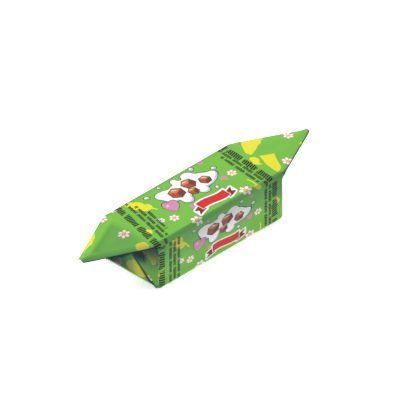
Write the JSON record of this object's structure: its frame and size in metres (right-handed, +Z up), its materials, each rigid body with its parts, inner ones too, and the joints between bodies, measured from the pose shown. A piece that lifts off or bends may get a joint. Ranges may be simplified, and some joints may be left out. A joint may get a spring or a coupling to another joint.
{
  "type": "wrapped caramel sweet",
  "caption": "Caramel sweet in a printed green film wrapper: a soft-edged block folded shut, with a pointed tail of film at each end.",
  "frame": {"origin": "centre of the flat underside, on the surface the sweet rests on", "axes": "+X along the block's length, from one pointed tail to the other; +Z up through the top panel, which the tails continue; -Y is the long face seen in the picture"},
  "size_m": [0.0758, 0.018, 0.0129],
  "materials": {
    "wrapper": "satin printed film"
  },
  "bodies": {
    "root": {"wrapper": "wrapper"}
  },
  "joints": []
}
